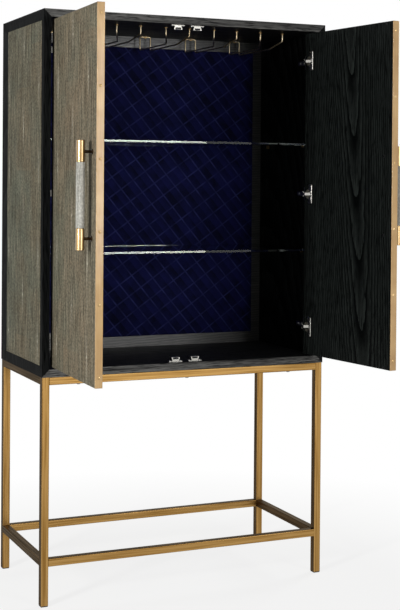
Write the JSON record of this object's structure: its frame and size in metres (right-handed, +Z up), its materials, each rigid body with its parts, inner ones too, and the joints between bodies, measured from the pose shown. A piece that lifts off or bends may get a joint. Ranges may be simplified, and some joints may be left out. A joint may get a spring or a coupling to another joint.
{
  "type": "bar armoire",
  "caption": "Free-standing bar armoire: a two-door case with glass shelves, stemware racks and a quilted back, raised on an open square-tube stand.",
  "frame": {"origin": "on the floor, half way between the two handles and half way from the open doors' free edges to the back: 18 mm right of the case's own middle, and 16 mm behind its front face", "axes": "+X to the right as seen from the front, +Y to the back, +Z up"},
  "size_m": [1.1026, 0.9286, 1.905],
  "materials": {
    "black_oak": "black stain, open grain",
    "shagreen": "satin, pebbled",
    "pale_shagreen": "satin, pebbled",
    "brass": "satin",
    "stand_brass": "satin, aged",
    "velvet": "quilted velvet over foam",
    "plywood": "unfinished",
    "glass": "clear, polished edges",
    "nickel": "nickel plate",
    "steel": "zinc plate",
    "glide_plastic": "matte"
  },
  "bodies": {
    "case": {"back_left_leg": "stand_brass", "back_panel": "black_oak", "back_right_leg": "stand_brass", "back_stretcher": "stand_brass", "back_top_rail": "stand_brass", "case_bottom": "black_oak", "case_screws": "steel", "case_top": "black_oak", "catch_housings": "nickel", "catch_magnets": "steel", "foot_glides": "glide_plastic", "front_left_leg": "stand_brass", "front_right_leg": "stand_brass", "front_stretcher": "stand_brass", "front_top_rail": "stand_brass", "hinge_arms": "nickel", "hinge_plates": "nickel", "left_side": "black_oak", "left_side_cladding": "shagreen", "left_stretcher": "stand_brass", "left_top_rail": "stand_brass", "lower_shelf": "glass", "pad_board": "plywood", "quilted_back_pad": "velvet", "rack_collars": "brass", "rack_saddles": "brass", "right_side": "black_oak", "right_side_cladding": "shagreen", "right_stretcher": "stand_brass", "right_top_rail": "stand_brass", "shelf_pins": "brass", "stand_screws": "steel", "stemware_rack_1": "brass", "stemware_rack_2": "brass", "stemware_rack_3": "brass", "stemware_rack_4": "brass", "stemware_rack_5": "brass", "upper_shelf": "glass"},
    "left_door": {"left_door_core": "black_oak", "left_door_face": "shagreen", "left_edge_strip": "brass", "left_strip_nails": "brass", "left_hinge_cups": "nickel", "left_hinge_pins": "steel", "left_strikes": "steel", "left_handle_bar": "brass", "left_handle_grip": "pale_shagreen", "left_handle_posts": "brass", "left_door_screws": "steel"},
    "right_door": {"right_door_core": "black_oak", "right_door_face": "shagreen", "right_edge_strip": "brass", "right_strip_nails": "brass", "right_hinge_cups": "nickel", "right_hinge_pins": "steel", "right_strikes": "steel", "right_handle_bar": "brass", "right_handle_grip": "pale_shagreen", "right_handle_posts": "brass", "right_door_screws": "steel"}
  },
  "joints": [
    {"name": "left_door_hinge", "type": "hinge", "parent": "case", "child": "left_door", "pos_m": [-0.47793, -0.00524, 1.319], "axis": [0, 0, -1], "range_deg": [-92, 8]},
    {"name": "right_door_hinge", "type": "hinge", "parent": "case", "child": "right_door", "pos_m": [0.44207, -0.00524, 1.319], "axis": [0, 0, 1], "range_deg": [-97, 3]}
  ]
}
